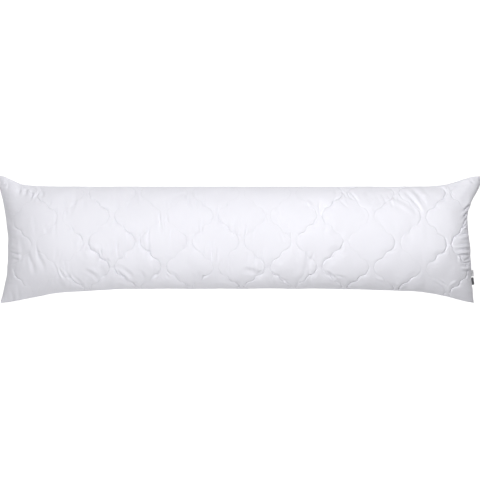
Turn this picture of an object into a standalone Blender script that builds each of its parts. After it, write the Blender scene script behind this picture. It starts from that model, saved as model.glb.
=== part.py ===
"""A body pillow: two quilted panels sewn together all round and filled, with two small labels caught in one end
seam. It lies on its back with its length along X, and the filled middle rests flat on Z = 0. Metres."""

import math

import bmesh
import bpy
import numpy as np

# The filled cushion at the middle of its length
TOP_EDGE_Y = 0.1550  # the long side at +Y, without its padding
BOTTOM_EDGE_Y = -0.1450  # the long side at -Y, without its padding
SEAM_HEIGHT = 0.0820
CROWN = 0.0920  # from the seam up to the quilting's stitch lines
BELLY = 0.0920  # from the seam down; the floor flattens the last of it
FLOOR_SOFTNESS = 0.0050  # how gradually the belly meets the floor
SECTION_POWER = 2.15  # 2 is an ellipse, more is squarer
SEAM_POWER_MIDDLE = 2.00  # how round the sides are at the long seams
SEAM_POWER_END = 1.25  # sharper there, as the two panels come together
CLOSING_START = 0.6  # of the panel's half length, where the sides start to sharpen

# The ends, where the filled tube closes to a straight seam
END_REACH = 0.6900  # of the end seams' middles from the centre, on average
END_ROUND = 0.1700  # the length in which the crown falls to the seam
END_POWER = 2.15
END_SEAM_HEIGHT = 0.0770
END_LIFT_RUN = 0.2200  # where the seam starts to leave its height at the middle
PANEL_HALF_WIDTH = 0.2000  # of the flat cloth, seam to seam

# The ears at the corners: where the tip is, and how long and how round its flare is
EARS = {
    # (end, side): (tip y, tip z, flare length, roundness)
    (-1, 1): (0.1905, 0.0860, 0.115, 0.2),
    (1, 1): (0.1875, 0.0960, 0.150, 1.0),
    (-1, -1): (-0.1905, 0.0680, 0.260, 0.8),
    (1, -1): (-0.1905, 0.0740, 0.230, 0.5),
}

# Each end seam bows in between its ears
EAR_TIP_Y = 0.1900
END_SEAM = (
    # y, reach of the left end, reach of the right end
    (-0.190, 0.7170, 0.7020),
    (-0.145, 0.7080, 0.6970),
    (-0.100, 0.6990, 0.6900),
    (-0.050, 0.6950, 0.6880),
    (0.000, 0.6935, 0.6835),
    (0.040, 0.6975, 0.6795),
    (0.075, 0.7020, 0.6800),
    (0.120, 0.7105, 0.6975),
    (0.160, 0.7215, 0.7170),
    (0.190, 0.7215, 0.7230),
)

# The quilting: zigzag stitch lines across the panel, each the mirror of the next
LINE_PITCH = 0.0770
FIRST_LINE = -9
LAST_LINE = 8
LINE_START = 0.0430  # where line 0 runs
LINE_SWING = 0.0295  # to each side of its middle
HALF_WAVE = 0.0785  # across the panel, from one turn to the next
TURN_PLACE = -0.0120  # a turn lies here, and the others step from it
TURN_SHARPNESS = 0.97
SCALLOP = 0.0026  # each run between turns has two small steps
SCALLOP_SPAN = 0.36  # of a run
SCALLOP_EDGE = 0.3  # how abrupt the steps are
QUILT_RISE = 0.0056
LINE_SHOULDER = 0.0090
SEAM_SHOULDER = 0.0110
BRIDGE_DEPTH = 0.5  # the cross crease that joins two neighbouring turns
BRIDGE_WIDTH = 0.0060

# How the mesh follows the quilting
BAY_FRACTIONS = (0.0, 0.13, 0.37, 0.63, 0.87)
END_FRACTIONS = (0.0, 0.22, 0.44, 0.63, 0.79, 0.91, 1.0)
RUN_FRACTIONS = (0.0, 0.22, 0.42, 0.58, 0.78)
SEAM_ROW = 0.0080  # the row next to the seam
SEAM_MERGE = 0.00002

# Gathers where the tube closes, ridges above 0 and creases below
GATHERS = (
    # y, height at the left end, height at the right end
    (-0.150, 0.0060, 0.0060),
    (-0.118, -0.0060, -0.0050),
    (-0.082, 0.0050, 0.0080),
    (-0.052, -0.0070, -0.0100),
    (-0.022, 0.0060, 0.0070),
    (0.010, -0.0050, -0.0090),
    (0.042, 0.0060, 0.0080),
    (0.074, -0.0080, -0.0110),
    (0.106, 0.0060, 0.0070),
)
GATHER_WIDTH = 0.0140
GATHER_RUN = 0.0450  # a gather loses most of its height in this, and starts from none at the seam
DEEPEST_FOLD = 0.45  # of the cushion's own height above the seam there

# The main folds on the upper panel
FOLDS = (
    # x, y, angle in degrees, length, width, height
    (0.503, 0.130, -40, 0.075, 0.011, -0.0060),
    (0.522, 0.132, -40, 0.080, 0.011, 0.0040),
    (0.541, 0.134, -40, 0.070, 0.011, -0.0050),
    (0.672, 0.094, 52, 0.070, 0.012, -0.0080),
    (-0.655, 0.158, 60, 0.070, 0.011, -0.0045),
    (-0.617, 0.143, 70, 0.080, 0.011, -0.0045),
    (-0.546, -0.100, -58, 0.075, 0.013, -0.0045),
    (-0.514, -0.103, -58, 0.075, 0.013, -0.0040),
    (-0.090, -0.045, 96, 0.120, 0.014, -0.0035),
    (-0.225, 0.020, 84, 0.110, 0.014, -0.0025),
    (0.125, 0.045, 95, 0.120, 0.014, -0.0025),
)

# The labels caught in the right end seam
LABELS = {
    # name: (y of its middle, width, length that shows, droop, colour)
    "care_label": (-0.1015, 0.0195, 0.0100, 0.0015, (0.90, 0.90, 0.92)),
    "side_label": (-0.1255, 0.0225, 0.0075, 0.0008, (0.07, 0.07, 0.08)),
}
LABEL_THICKNESS = 0.0010
LABEL_GAP = 0.0005
LABEL_STEPS = 5

CLOTH_COLOUR = (0.90, 0.90, 0.93)
CLOTH_ROUGHNESS = 0.85
LABEL_ROUGHNESS = 0.60


def ease(t):
    """0 to 1 with a soft start and end."""
    t = np.clip(t, 0.0, 1.0)
    return t * t * (3 - 2 * t)


def through(x, rows, column):
    """A smooth curve through a table's rows, with x in the first column."""
    xs = np.array([row[0] for row in rows])
    ys = np.array([row[column] for row in rows])
    slopes = np.gradient(ys, xs)
    i = np.clip(np.searchsorted(xs, x) - 1, 0, len(xs) - 2)
    gap = xs[i + 1] - xs[i]
    t = np.clip((x - xs[i]) / gap, 0, 1)
    start = ys[i] + (ys[i + 1] - ys[i]) * ease(t)
    return start + gap * t * (1 - t) * (slopes[i] * (1 - t) - slopes[i + 1] * t)


def end_profile():
    """The crown's fall to the end seam: the cloth used, the length covered and the share of the height left."""
    t = np.linspace(0, math.pi / 2, 241)
    run = END_ROUND * np.sin(t) ** (2 / END_POWER)
    rise = CROWN * np.cos(t) ** (2 / END_POWER)
    cloth = np.concatenate(([0], np.cumsum(np.hypot(np.diff(run), np.diff(rise)))))
    return cloth, run, rise / CROWN


END_CLOTH, END_RUN, END_RISE = end_profile()
ROUND_START = END_REACH - END_ROUND
PANEL_HALF_LENGTH = ROUND_START + END_CLOTH[-1]


def seam_reach(end, y):
    """How far out the end seam lies at y."""
    return np.where(end > 0, through(y, END_SEAM, 2), through(y, END_SEAM, 1))


def long_edges(x, end):
    """The y of both long seams at x, with the flares of the ears."""
    edges = []
    for side, middle in ((1, TOP_EDGE_Y), (-1, BOTTOM_EDGE_Y)):
        y = np.full(x.shape, middle)
        for (ear_end, ear_side), (tip_y, _, length, roundness) in EARS.items():
            if ear_side != side:
                continue
            tip_x = seam_reach(ear_end, side * EAR_TIP_Y)
            t = np.clip(1 - (tip_x - np.abs(x)) / length, 0, 1)
            flare = roundness * ease(t) + (1 - roundness) * t * t
            y = np.where(end == ear_end, middle + (tip_y - middle) * flare, y)
        edges.append(y)
    return edges


def seam_height(u, place, end):
    """The height of the seam plane, which leaves its middle height towards the ears."""
    tips = np.zeros(u.shape)
    for (ear_end, ear_side), (_, tip_z, _, _) in EARS.items():
        tips = np.where((end == ear_end) & (np.sign(place + 1e-9) == ear_side), tip_z, tips)
    at_end = END_SEAM_HEIGHT + (tips - END_SEAM_HEIGHT) * place**2
    t = ease((np.abs(u) - PANEL_HALF_LENGTH + END_LIFT_RUN) / END_LIFT_RUN)
    return SEAM_HEIGHT + (at_end - SEAM_HEIGHT) * t


def section(width, height, seam_power, place):
    """Y and Z on half a section. Place runs from seam to seam in equal steps of cloth, from -1 to 1."""
    t = np.linspace(0, math.pi / 2, 73)
    y = width[:, None] * np.sin(t) ** (2 / SECTION_POWER)
    z = height[:, None] * np.cos(t) ** (2 / seam_power[:, None])
    steps = np.hypot(np.diff(y), np.diff(z))
    cloth = np.concatenate((np.zeros((len(width), 1)), np.cumsum(steps, axis=1)), axis=1)
    want = np.abs(place) * cloth[:, -1]
    after = np.clip((cloth < want[:, None]).sum(axis=1), 1, len(t) - 1)
    row = np.arange(len(width))
    share = (want - cloth[row, after - 1]) / np.maximum(cloth[row, after] - cloth[row, after - 1], 1e-12)
    share = np.clip(share, 0, 1)
    found_y = y[row, after - 1] + share * (y[row, after] - y[row, after - 1])
    found_z = z[row, after - 1] + share * (z[row, after] - z[row, after - 1])
    return np.sign(place) * found_y, found_z


def filled_form(u, v, side):
    """Points of the smooth filled cushion for cloth at (u, v) on the upper panel (side 1) or the lower (-1)."""
    end = np.where(u < 0, -1, 1)
    place = v / PANEL_HALF_WIDTH
    past = np.clip(np.abs(u) - ROUND_START, 0, None)
    run = np.interp(past, END_CLOTH, END_RUN)
    fullness = np.interp(past, END_CLOTH, END_RISE)
    taken_up = (past - run) / (END_CLOTH[-1] - END_ROUND)
    x = end * (np.abs(u) - taken_up * (PANEL_HALF_LENGTH - seam_reach(end, place * EAR_TIP_Y)))
    top, bottom = long_edges(x, end)
    closing = ease((np.abs(u) / PANEL_HALF_LENGTH - CLOSING_START) / (1 - CLOSING_START))
    seam_power = SEAM_POWER_MIDDLE + (SEAM_POWER_END - SEAM_POWER_MIDDLE) * closing
    height = fullness * (CROWN if side > 0 else BELLY)
    y, z = section((top - bottom) / 2, height, seam_power, place)
    return np.stack((x, (top + bottom) / 2 + y, seam_height(u, place, end) + side * z), axis=1)


def line_place(k, v):
    """Where stitch line k crosses the cloth at v."""
    turns = (v - TURN_PLACE) / HALF_WAVE
    zigzag = -np.arcsin(TURN_SHARPNESS * np.cos(math.pi * turns)) / math.asin(TURN_SHARPNESS)
    along = np.abs((turns + 1) % 2 - 1)
    wave = 2 * math.pi * (along - 0.5) / SCALLOP_SPAN
    steps = -(np.sin(wave) - SCALLOP_EDGE * np.sin(2 * wave)) * np.sin(math.pi * along)
    mirrored = -1 if k % 2 else 1
    return LINE_START + LINE_PITCH * k + mirrored * (LINE_SWING * zigzag + SCALLOP * steps)


def rise_from(distance, shoulder):
    return 1 - np.exp(-np.abs(distance) / shoulder)


def quilting(u, v):
    """The padding's height over the stitch lines, the cross creases and the seams."""
    slant = math.hypot(HALF_WAVE, 2 * LINE_SWING) / HALF_WAVE
    lines = [np.abs(u - line_place(k, v)) / slant for k in range(FIRST_LINE, LAST_LINE + 1)]
    lines = np.sort(np.stack(lines), axis=0)
    height = rise_from(lines[0], LINE_SHOULDER) * rise_from(lines[1], LINE_SHOULDER)
    to_turn = np.abs((v - TURN_PLACE + HALF_WAVE / 2) % HALF_WAVE - HALF_WAVE / 2)
    between = np.exp(-(((lines[0] + lines[1]) / (LINE_PITCH / 2)) ** 2))
    height = height * (1 - BRIDGE_DEPTH * between * np.exp(-((to_turn / BRIDGE_WIDTH) ** 2)))
    height = height * rise_from(PANEL_HALF_WIDTH - np.abs(v), SEAM_SHOULDER)
    return QUILT_RISE * height * rise_from(PANEL_HALF_LENGTH - np.abs(u), SEAM_SHOULDER)


def gathers(u, y):
    """Ridges and creases that run in from the end seams."""
    to_seam = PANEL_HALF_LENGTH - np.abs(u)
    fade = np.exp(-to_seam / GATHER_RUN) * rise_from(to_seam, SEAM_SHOULDER)
    height = np.zeros(u.shape)
    for place, left, right in GATHERS:
        height += np.where(u < 0, left, right) * np.exp(-(((y - place) / GATHER_WIDTH) ** 2))
    return height * fade


def folds(x, y):
    height = np.zeros(x.shape)
    for fold_x, fold_y, angle, length, width, rise in FOLDS:
        c = math.cos(math.radians(angle))
        s = math.sin(math.radians(angle))
        along = ((x - fold_x) * c + (y - fold_y) * s) / (length / 2)
        across = ((y - fold_y) * c - (x - fold_x) * s) / width
        height += rise * np.clip(1 - along**2, 0, 1) ** 2 * np.exp(-(across**2))
    return height


def press_on_floor(z):
    """Keeps a height above the floor, flat where it touches."""
    soft = (z + FLOOR_SOFTNESS) ** 2 / (4 * FLOOR_SOFTNESS)
    return np.where(z <= -FLOOR_SOFTNESS, 0.0, np.where(z < FLOOR_SOFTNESS, soft, z))


def cushion_surface(u, v, side):
    """Points of the finished cushion: the filled form, its quilting, gathers and folds, and the floor's flat."""
    form = filled_form(u, v, side)
    step = 0.0010
    u_low = np.clip(u - step, -PANEL_HALF_LENGTH, None)
    u_high = np.clip(u + step, None, PANEL_HALF_LENGTH)
    v_low = np.clip(v - step, -PANEL_HALF_WIDTH, None)
    v_high = np.clip(v + step, None, PANEL_HALF_WIDTH)
    along_u = filled_form(u_high, v, side) - filled_form(u_low, v, side)
    along_v = filled_form(u, v_high, side) - filled_form(u, v_low, side)
    outward = side * np.cross(along_u, along_v)
    outward /= np.linalg.norm(outward, axis=1)[:, None] + 1e-12
    relief = quilting(u, v) + gathers(u, form[:, 1])
    if side > 0:
        to_seam = np.minimum(PANEL_HALF_WIDTH - np.abs(v), PANEL_HALF_LENGTH - np.abs(u))
        relief += folds(form[:, 0], form[:, 1]) * rise_from(to_seam, SEAM_SHOULDER)
    depth = np.abs(form[:, 2] - seam_height(u, v / PANEL_HALF_WIDTH, np.where(u < 0, -1, 1)))
    points = form + outward * np.maximum(relief, -DEEPEST_FOLD * depth)[:, None]
    points[:, 2] = press_on_floor(points[:, 2])
    return points


def cloth_grid():
    """Cloth places (u, v) of the mesh: its columns follow the stitch lines, and its rows their turns and steps."""
    inner = PANEL_HALF_WIDTH - SEAM_ROW
    rows = [-PANEL_HALF_WIDTH, -inner]
    first = math.floor((-inner - TURN_PLACE) / HALF_WAVE)
    last = math.ceil((inner - TURN_PLACE) / HALF_WAVE)
    for turn in range(first, last):
        for fraction in RUN_FRACTIONS:
            v = TURN_PLACE + (turn + fraction) * HALF_WAVE
            if abs(v) < inner - SEAM_ROW:
                rows.append(v)
    rows += [inner, PANEL_HALF_WIDTH]
    v = np.array(rows)
    lines = {k: line_place(k, v) for k in range(FIRST_LINE, LAST_LINE + 1)}
    columns = []
    for f in reversed(END_FRACTIONS[1:]):
        columns.append(lines[FIRST_LINE] * (1 - f) - PANEL_HALF_LENGTH * f)
    for k in range(FIRST_LINE, LAST_LINE):
        for f in BAY_FRACTIONS:
            columns.append(lines[k] * (1 - f) + lines[k + 1] * f)
    for f in END_FRACTIONS:
        columns.append(lines[LAST_LINE] * (1 - f) + PANEL_HALF_LENGTH * f)
    u = np.stack(columns, axis=1)
    return u, np.repeat(v[:, None], u.shape[1], axis=1)


def finish(name, mesh, colour, roughness):
    """Makes the object of a mesh, with its own plain material."""
    piece = bpy.data.objects.new(name, mesh)
    bpy.context.collection.objects.link(piece)
    material = bpy.data.materials.new(name)
    material.use_nodes = True
    shader = material.node_tree.nodes["Principled BSDF"]
    shader.inputs["Base Color"].default_value = (*colour, 1)
    shader.inputs["Roughness"].default_value = roughness
    mesh.materials.append(material)
    return piece


def split_from(corner):
    """Cuts a corner's quad from the ear's tip inwards, so that the tip keeps its thickness."""
    face = corner.link_faces[0]
    around = list(face.verts)
    bmesh.utils.face_split(face, corner, around[(around.index(corner) + 2) % 4])


def make_pillow():
    """Both panels as grids on the finished cushion, joined along the seam that they share."""
    u, v = cloth_grid()
    rows, columns = u.shape
    bm = bmesh.new()
    for side in (1, -1):
        points = cushion_surface(u.ravel(), v.ravel(), side)
        grid = bmesh.ops.create_grid(bm, x_segments=columns - 1, y_segments=rows - 1, size=1)["verts"]
        for vert, point in zip(grid, points):
            vert.co = point
        for corner in (grid[0], grid[columns - 1], grid[-columns], grid[-1]):
            split_from(corner)
        if side < 0:
            faces = {face for vert in grid for face in vert.link_faces}
            bmesh.ops.reverse_faces(bm, faces=sorted(faces, key=lambda face: face.index))
    bmesh.ops.remove_doubles(bm, verts=bm.verts, dist=SEAM_MERGE)
    bmesh.ops.triangulate(bm, faces=bm.faces)
    mesh = bpy.data.meshes.new("pillow")
    bm.to_mesh(mesh)
    bm.free()
    mesh.shade_smooth()
    return finish("pillow", mesh, CLOTH_COLOUR, CLOTH_ROUGHNESS)


def end_seam_points():
    """The right end seam as the mesh has it, from -Y to +Y."""
    u, v = cloth_grid()
    return cushion_surface(u[:, -1], v[:, -1], 1)


def make_label(name, middle, width, length, droop, colour):
    """A folded ribbon that leaves the end seam level and droops a little."""
    seam = end_seam_points()
    low, high = middle - width / 2, middle + width / 2
    ys = [low] + [y for y in seam[:, 1] if low < y < high] + [high]
    roots = [(np.interp(y, seam[:, 1], seam[:, 0]), y, np.interp(y, seam[:, 1], seam[:, 2])) for y in ys]
    outer = max(x for x, _, _ in roots) + LABEL_GAP + length
    bm = bmesh.new()
    layers = []
    for face in (1, -1):
        layer = []
        for root_x, y, root_z in roots:
            line = []
            for step in range(LABEL_STEPS + 1):
                t = step / LABEL_STEPS
                x = root_x + LABEL_GAP + t * (outer - root_x - LABEL_GAP)
                z = root_z - droop * t * t + face * LABEL_THICKNESS / 2
                line.append(bm.verts.new((x, y, z)))
            layer.append(line)
        layers.append(layer)
    upper, lower = layers
    last = len(roots) - 1
    for i in range(last):
        for j in range(LABEL_STEPS):
            bm.faces.new((upper[i][j], upper[i][j + 1], upper[i + 1][j + 1], upper[i + 1][j]))
            bm.faces.new((lower[i][j], lower[i + 1][j], lower[i + 1][j + 1], lower[i][j + 1]))
        bm.faces.new((upper[i][0], upper[i + 1][0], lower[i + 1][0], lower[i][0]))
        end = LABEL_STEPS
        bm.faces.new((upper[i][end], lower[i][end], lower[i + 1][end], upper[i + 1][end]))
    for j in range(LABEL_STEPS):
        bm.faces.new((upper[0][j], lower[0][j], lower[0][j + 1], upper[0][j + 1]))
        bm.faces.new((upper[last][j], upper[last][j + 1], lower[last][j + 1], lower[last][j]))
    bmesh.ops.recalc_face_normals(bm, faces=bm.faces)
    mesh = bpy.data.meshes.new(name)
    bm.to_mesh(mesh)
    bm.free()
    return finish(name, mesh, colour, LABEL_ROUGHNESS)


for old in list(bpy.data.objects):
    bpy.data.objects.remove(old, do_unlink=True)

make_pillow()
for label_name, label_sizes in LABELS.items():
    make_label(label_name, *label_sizes)
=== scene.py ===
import math

import bpy
import numpy as np
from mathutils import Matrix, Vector, noise


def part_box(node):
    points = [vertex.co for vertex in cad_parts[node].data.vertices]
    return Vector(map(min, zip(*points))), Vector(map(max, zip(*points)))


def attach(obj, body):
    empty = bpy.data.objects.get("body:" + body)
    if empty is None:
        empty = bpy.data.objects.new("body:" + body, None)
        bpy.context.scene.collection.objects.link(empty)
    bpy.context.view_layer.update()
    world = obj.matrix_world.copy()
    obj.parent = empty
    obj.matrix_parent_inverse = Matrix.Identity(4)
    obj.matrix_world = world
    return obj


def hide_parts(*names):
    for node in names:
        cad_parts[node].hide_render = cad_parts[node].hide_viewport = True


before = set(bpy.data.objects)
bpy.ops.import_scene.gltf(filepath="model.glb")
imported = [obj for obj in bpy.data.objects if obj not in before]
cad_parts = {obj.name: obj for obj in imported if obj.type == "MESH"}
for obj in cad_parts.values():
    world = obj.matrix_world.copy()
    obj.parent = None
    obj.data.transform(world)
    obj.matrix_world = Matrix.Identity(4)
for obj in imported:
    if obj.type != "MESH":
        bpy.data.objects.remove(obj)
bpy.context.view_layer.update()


# ------------------------------------------------------------------------------------------------------------
# The pillow. Two panels of white brushed microfibre, each quilted to a thin wadding along scalloped zigzag
# lines, sewn together all round with the seam inside, turned out and stuffed with loose fibre. The stuffing
# draws the sides in, leaves four soft ears and gathers the cloth at the ends.

TOP_EDGE_Y = 0.1560  # the long side at +Y, without its padding
BOTTOM_EDGE_Y = -0.1450  # the long side at -Y, without its padding
SEAM_HEIGHT = 0.0820
CROWN = 0.0920  # from the seam up to the quilting's stitch lines
BELLY = 0.0920  # from the seam down; the floor flattens the last of it
FLOOR_SOFTNESS = 0.0050  # how gradually the belly meets the floor
SECTION_POWER = 2.15  # 2 is an ellipse, more is squarer
SEAM_POWER_MIDDLE = 2.00  # how round the sides are at the long seams
SEAM_POWER_END = 1.25  # sharper there, as the two panels come together
SEAM_POWER_PLUMP_EAR = 1.90  # in the ear at +X and +Y, which is stuffed full
CLOSING_START = 0.6  # of the panel's half length, where the sides start to sharpen
END_REACH = 0.6900  # of the end seams' middles from the centre, on average
END_ROUND = 0.1700  # the length in which the crown falls to the seam
END_POWER = 2.15
FULLER_END_POWER = 3.60  # the end at +X is stuffed fuller: its crown falls later and steeper
END_SEAM_HEIGHT = 0.0770
END_LIFT_RUN = 0.2200  # where the seam starts to leave its height at the middle
PANEL_HALF_WIDTH = 0.2000  # of the flat cloth, seam to seam
PROFILE_STEPS = 241  # points on the curves below, from which the cloth's length is summed
SECTION_STEPS = 73

EARS = {
    # (end, side): (tip y, tip z, flare), with the flare as rows of the distance from the tip along the long
    # seam, and the share of the tip's reach that is left there
    (-1, 1): (0.1910, 0.0880, (
        (0.000, 1.00), (0.014, 0.94), (0.026, 0.80), (0.038, 0.65), (0.050, 0.47), (0.062, 0.31),
        (0.080, 0.20), (0.098, 0.13), (0.122, 0.085), (0.152, 0.05), (0.200, 0.02), (0.260, 0.00),
    )),
    (1, 1): (0.1890, 0.1080, (
        (0.000, 1.00), (0.018, 0.97), (0.033, 0.88), (0.045, 0.77), (0.063, 0.60), (0.093, 0.30),
        (0.123, 0.12), (0.160, 0.03), (0.200, 0.00),
    )),
    (-1, -1): (-0.1905, 0.0700, (
        (0.000, 1.00), (0.021, 0.97), (0.045, 0.88), (0.075, 0.73), (0.093, 0.64), (0.117, 0.54),
        (0.147, 0.38), (0.177, 0.28), (0.237, 0.18), (0.327, 0.06), (0.420, 0.00),
    )),
    (1, -1): (-0.1905, 0.0760, (
        (0.000, 1.00), (0.012, 0.95), (0.030, 0.87), (0.060, 0.665), (0.100, 0.445), (0.150, 0.26),
        (0.200, 0.16), (0.250, 0.105), (0.310, 0.07), (0.370, 0.03), (0.450, 0.00),
    )),
}
EAR_TIP_Y = 0.1900
END_SEAM = (
    # y, reach of the left end, reach of the right end
    (-0.190, 0.7200, 0.7020),
    (-0.145, 0.7090, 0.6955),
    (-0.100, 0.7000, 0.6900),
    (-0.050, 0.6975, 0.6880),
    (0.000, 0.6960, 0.6820),
    (0.040, 0.6995, 0.6765),
    (0.075, 0.7045, 0.6775),
    (0.120, 0.7125, 0.6960),
    (0.160, 0.7215, 0.7170),
    (0.190, 0.7215, 0.7230),
)


def ease(t):
    """0 to 1 with a soft start and end."""
    t = np.clip(t, 0.0, 1.0)
    return t * t * (3 - 2 * t)


def through(x, rows, column):
    """A smooth curve through a table's rows, with x in the first column."""
    xs = np.array([row[0] for row in rows])
    ys = np.array([row[column] for row in rows])
    slopes = np.gradient(ys, xs)
    i = np.clip(np.searchsorted(xs, x) - 1, 0, len(xs) - 2)
    gap = xs[i + 1] - xs[i]
    t = np.clip((x - xs[i]) / gap, 0, 1)
    start = ys[i] + (ys[i + 1] - ys[i]) * ease(t)
    return start + gap * t * (1 - t) * (slopes[i] * (1 - t) - slopes[i + 1] * t)


def end_profile():
    """The crown's fall to the end seam: the cloth used, the length covered and the height's share left."""
    t = np.linspace(0, math.pi / 2, PROFILE_STEPS)
    run = END_ROUND * np.sin(t) ** (2 / END_POWER)
    rise = CROWN * np.cos(t) ** (2 / END_POWER)
    cloth = np.concatenate(([0], np.cumsum(np.hypot(np.diff(run), np.diff(rise)))))
    return cloth, run, rise / CROWN


END_CLOTH, END_RUN, END_RISE = end_profile()
ROUND_START = END_REACH - END_ROUND
PANEL_HALF_LENGTH = ROUND_START + END_CLOTH[-1]


def seam_reach(end, y):
    """How far out the end seam lies at y."""
    return np.where(end > 0, through(y, END_SEAM, 2), through(y, END_SEAM, 1))


def long_edges(x, end):
    """The y of both long seams at x, with the flares of the ears."""
    edges = []
    for side, middle in ((1, TOP_EDGE_Y), (-1, BOTTOM_EDGE_Y)):
        y = np.full(x.shape, middle)
        for (ear_end, ear_side), (tip_y, _, flare) in EARS.items():
            if ear_side != side:
                continue
            from_tip = np.clip(seam_reach(ear_end, side * EAR_TIP_Y) - np.abs(x), 0, flare[-1][0])
            share = through(from_tip, flare, 1)
            y = np.where(end == ear_end, middle + (tip_y - middle) * share, y)
        edges.append(y)
    return edges


def seam_height(u, place, end):
    """The height of the seam plane, which leaves its middle height towards the ears."""
    tips = np.zeros(u.shape)
    for (ear_end, ear_side), (_, tip_z, _) in EARS.items():
        tips = np.where((end == ear_end) & (np.sign(place + 1e-9) == ear_side), tip_z, tips)
    at_end = END_SEAM_HEIGHT + (tips - END_SEAM_HEIGHT) * place**2
    t = ease((np.abs(u) - PANEL_HALF_LENGTH + END_LIFT_RUN) / END_LIFT_RUN)
    return SEAM_HEIGHT + (at_end - SEAM_HEIGHT) * t


def section(width, height, seam_power, place):
    """Y and Z on half a section. Place runs from seam to seam in equal steps of cloth, from -1 to 1."""
    t = np.linspace(0, math.pi / 2, SECTION_STEPS)
    y = width[:, None] * np.sin(t) ** (2 / SECTION_POWER)
    z = height[:, None] * np.cos(t) ** (2 / seam_power[:, None])
    steps = np.hypot(np.diff(y), np.diff(z))
    cloth = np.concatenate((np.zeros((len(width), 1)), np.cumsum(steps, axis=1)), axis=1)
    want = np.abs(place) * cloth[:, -1]
    after = np.clip((cloth < want[:, None]).sum(axis=1), 1, len(t) - 1)
    row = np.arange(len(width))
    share = (want - cloth[row, after - 1]) / np.maximum(cloth[row, after] - cloth[row, after - 1], 1e-12)
    share = np.clip(share, 0, 1)
    found_y = y[row, after - 1] + share * (y[row, after] - y[row, after - 1])
    found_z = z[row, after - 1] + share * (z[row, after] - z[row, after - 1])
    return np.sign(place) * found_y, found_z


def filled_form(u, v, side):
    """Points of the smooth filled cushion for cloth at (u, v), on the upper panel (side 1) or lower (-1)."""
    end = np.where(u < 0, -1, 1)
    place = v / PANEL_HALF_WIDTH
    past = np.clip(np.abs(u) - ROUND_START, 0, None)
    run = np.interp(past, END_CLOTH, END_RUN)
    fuller = (1 - (run / END_ROUND) ** FULLER_END_POWER) ** (1 / FULLER_END_POWER)
    fullness = np.where(end > 0, fuller, np.interp(past, END_CLOTH, END_RISE))
    taken_up = (past - run) / (END_CLOTH[-1] - END_ROUND)
    x = end * (np.abs(u) - taken_up * (PANEL_HALF_LENGTH - seam_reach(end, place * EAR_TIP_Y)))
    top, bottom = long_edges(x, end)
    closing = ease((np.abs(u) / PANEL_HALF_LENGTH - CLOSING_START) / (1 - CLOSING_START))
    closed_power = np.where((end > 0) & (v > 0), SEAM_POWER_PLUMP_EAR, SEAM_POWER_END)
    seam_power = SEAM_POWER_MIDDLE + (closed_power - SEAM_POWER_MIDDLE) * closing
    height = fullness * (CROWN if side > 0 else BELLY)
    y, z = section((top - bottom) / 2, height, seam_power, place)
    return np.stack((x, (top + bottom) / 2 + y, seam_height(u, place, end) + side * z), axis=1)


# The quilting's stitch lines on the flat cloth
LINE_PITCH = 0.0770
FIRST_LINE = -9
LAST_LINE = 8
LINE_START = 0.0430  # where line 0 runs
LINE_SWING = 0.0318  # to each side of its middle
HALF_WAVE = 0.0785  # across the panel, from one turn to the next
TURN_PLACE = -0.0120  # a turn lies here, and the others step from it
TURN_SHARPNESS = 0.98
STEP_SHARE = 0.48  # of a run's swing, taken in two short steps
STEP_PLACES = (0.335, 0.665)  # along a run
STEP_LENGTH = 0.090  # of a run
SHAKES = ((0.0009, 0.0230, 1.7), (0.0006, 0.0130, 2.9))  # swing, wavelength, shift from line to line


def line_place(k, v):
    """Where stitch line k crosses the cloth at v."""
    turns = (v - TURN_PLACE) / HALF_WAVE
    zigzag = -np.arcsin(TURN_SHARPNESS * np.cos(math.pi * turns)) / math.asin(TURN_SHARPNESS)
    along = np.abs((turns + 1) % 2 - 1)
    steps = sum(ease((along - place) / STEP_LENGTH + 0.5) for place in STEP_PLACES) - 1
    mirrored = -1 if k % 2 else 1
    swing = LINE_SWING * ((1 - STEP_SHARE) * zigzag + STEP_SHARE * steps)
    shake = sum(size * np.sin(2 * math.pi * v / wave + shift * k) for size, wave, shift in SHAKES)
    return LINE_START + LINE_PITCH * k + mirrored * swing + shake


SLOPE_SPAN = 0.0150
LINE_PROBES = np.arange(-8, 9) * 0.0015  # steps across the cloth, in which the nearest stitch is looked for
THREAD_STEPS = 1601


def nearest_lines(u, v):
    """Distances on the cloth to the nearest stitch line and to the next one, and the nearest one's slope."""
    numbers = range(FIRST_LINE, LAST_LINE + 1)
    distances = np.stack([
        np.min([np.hypot(u - line_place(k, v + step), step) for step in LINE_PROBES], axis=0) for k in numbers
    ])
    slopes = np.stack([
        (line_place(k, v + SLOPE_SPAN) - line_place(k, v - SLOPE_SPAN)) / (2 * SLOPE_SPAN) for k in numbers
    ])
    order = np.argsort(distances, axis=0)
    nearest, second, slope = (
        np.take_along_axis(values, order[[rank]], axis=0)[0]
        for values, rank in ((distances, 0), (distances, 1), (slopes, 0))
    )
    return nearest, second, slope


def thread_run(v):
    """The length of thread along a stitch line, from the panel's edge to v."""
    across = np.linspace(-PANEL_HALF_WIDTH, PANEL_HALF_WIDTH, THREAD_STEPS)
    along = line_place(0, across)
    run = np.concatenate(([0], np.cumsum(np.hypot(np.diff(across), np.diff(along)))))
    return np.interp(v, across, run)


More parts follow.
